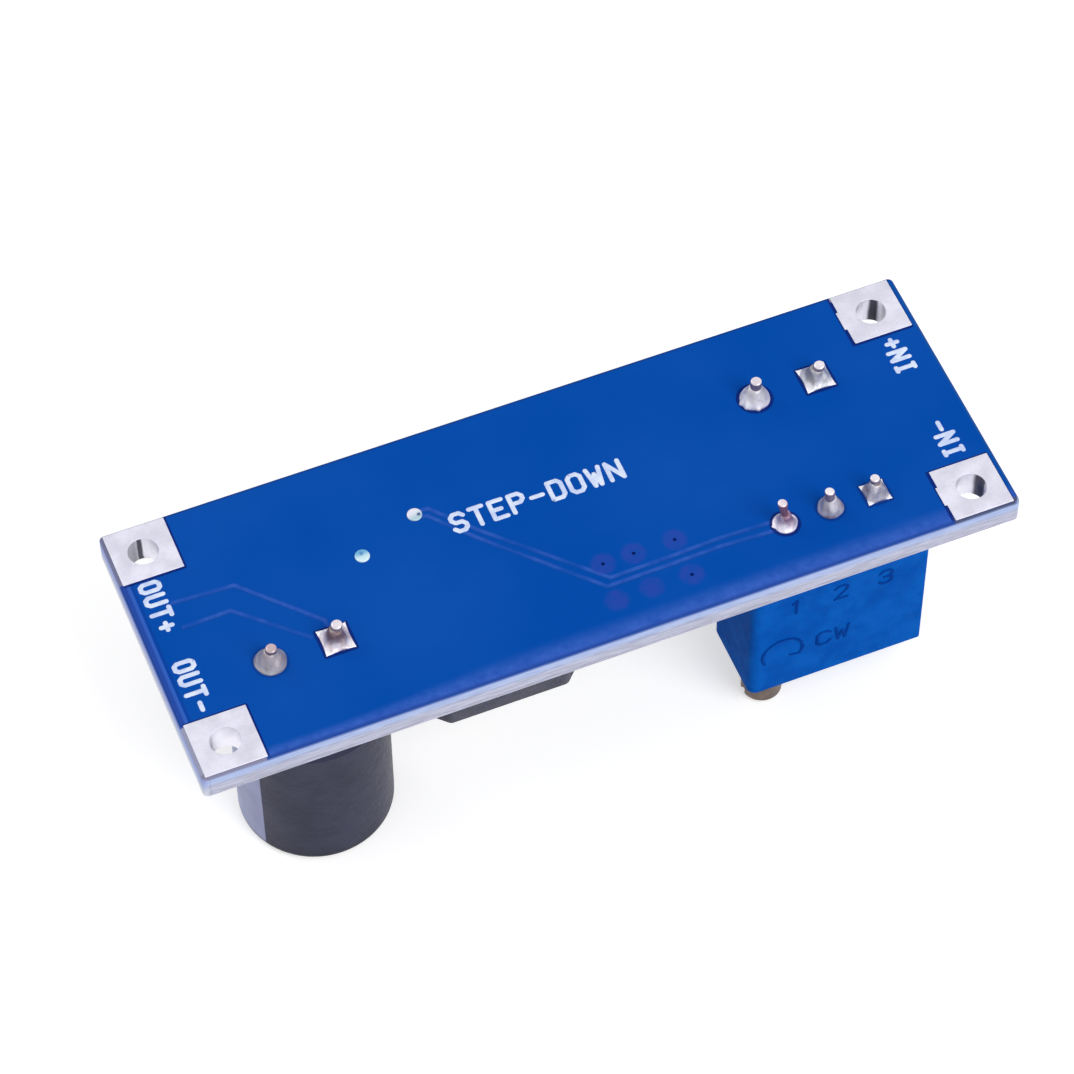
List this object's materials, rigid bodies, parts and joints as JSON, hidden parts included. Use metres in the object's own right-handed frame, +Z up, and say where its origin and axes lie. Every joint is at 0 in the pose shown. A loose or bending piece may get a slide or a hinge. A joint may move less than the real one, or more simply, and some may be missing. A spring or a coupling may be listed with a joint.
{
  "type": "buck converter module",
  "caption": "Long narrow blue circuit board lying solder side up on its tall capacitors, with corner terminal pads, soldered leads, inductor, regulator and side trimmer with a turning screw.",
  "frame": {"origin": "under the middle of the board, on the surface that the capacitor ends stand on", "axes": "+X along the board from the output end to the input end, +Y across it towards the edge with the input capacitor, +Z up out of the solder side"},
  "size_m": [0.0446, 0.016, 0.0154],
  "materials": {
    "board": "satin blue solder mask over glass epoxy",
    "tinned_copper": "bright dip-tinned copper",
    "solder": "satin tin solder",
    "lead_metal": "tinned wire and strip, cut ends bright",
    "can": "satin drawn aluminium",
    "sleeve": "dark slate shrunk sleeve with a pale stripe",
    "rubber": "matt black rubber",
    "ferrite": "matt dark grey ferrite",
    "winding": "enamelled copper wire",
    "inductor_base": "matt black moulding",
    "moulding": "matt black epoxy moulding",
    "chip_resistor": "black glazed top on white alumina, tinned ends",
    "chip_capacitor": "tan ceramic with tinned ends",
    "trimmer_blue": "semi-gloss blue moulding",
    "screw_brass": "dull turned brass",
    "wheel_nylon": "natural nylon",
    "wiper_spring": "spring metal",
    "element_ceramic": "white alumina",
    "seal_resin": "cast blue resin"
  },
  "bodies": {
    "module": {"circuit_board": "board", "output_positive_pad": "tinned_copper", "output_negative_pad": "tinned_copper", "input_positive_pad": "tinned_copper", "input_negative_pad": "tinned_copper", "left_via": "tinned_copper", "right_via": "tinned_copper", "output_capacitor_can": "can", "output_capacitor_sleeve": "sleeve", "output_capacitor_bung": "rubber", "output_capacitor_negative_lead": "lead_metal", "output_capacitor_positive_lead": "lead_metal", "output_capacitor_negative_solder": "solder", "output_capacitor_positive_solder": "solder", "input_capacitor_can": "can", "input_capacitor_sleeve": "sleeve", "input_capacitor_bung": "rubber", "input_capacitor_negative_lead": "lead_metal", "input_capacitor_positive_lead": "lead_metal", "input_capacitor_negative_solder": "solder", "input_capacitor_positive_solder": "solder", "inductor_base": "inductor_base", "inductor_shield": "ferrite", "inductor_core": "ferrite", "inductor_winding": "winding", "inductor_output_clip": "lead_metal", "inductor_switch_clip": "lead_metal", "regulator_tab": "lead_metal", "regulator_body": "moulding", "regulator_lead_1": "lead_metal", "regulator_lead_2": "lead_metal", "regulator_lead_4": "lead_metal", "regulator_lead_5": "lead_metal", "diode_body": "moulding", "diode_anode_clip": "lead_metal", "diode_cathode_clip": "lead_metal", "input_chip_capacitor": "chip_capacitor", "output_chip_capacitor": "chip_capacitor", "bypass_chip_capacitor": "chip_capacitor", "feedback_resistor": "chip_resistor", "divider_resistor": "chip_resistor", "trimmer_housing": "trimmer_blue", "trimmer_seal_ring": "rubber", "trimmer_element": "element_ceramic", "trimmer_base_seal": "seal_resin", "trimmer_first_pin": "lead_metal", "trimmer_second_pin": "lead_metal", "trimmer_third_pin": "lead_metal", "trimmer_first_solder": "solder", "trimmer_second_solder": "solder", "trimmer_third_solder": "solder"},
    "adjusting_screw": {"trimmer_screw": "screw_brass"},
    "wiper_wheel": {"trimmer_wheel": "wheel_nylon", "trimmer_wiper": "wiper_spring"}
  },
  "joints": [
    {"name": "screw_turn", "type": "hinge", "parent": "module", "child": "adjusting_screw", "pos_m": [0.00937, -0.00533, 0.006], "axis": [0, 0, 1], "continuous": true},
    {"name": "wheel_turn", "type": "hinge", "parent": "module", "child": "wiper_wheel", "pos_m": [0.01277, -0.00533, 0.00668], "axis": [0, 1, 0], "continuous": true}
  ],
  "couplings": [
    {"joint": "wheel_turn", "follows": "screw_turn", "ratio": -0.034483}
  ]
}
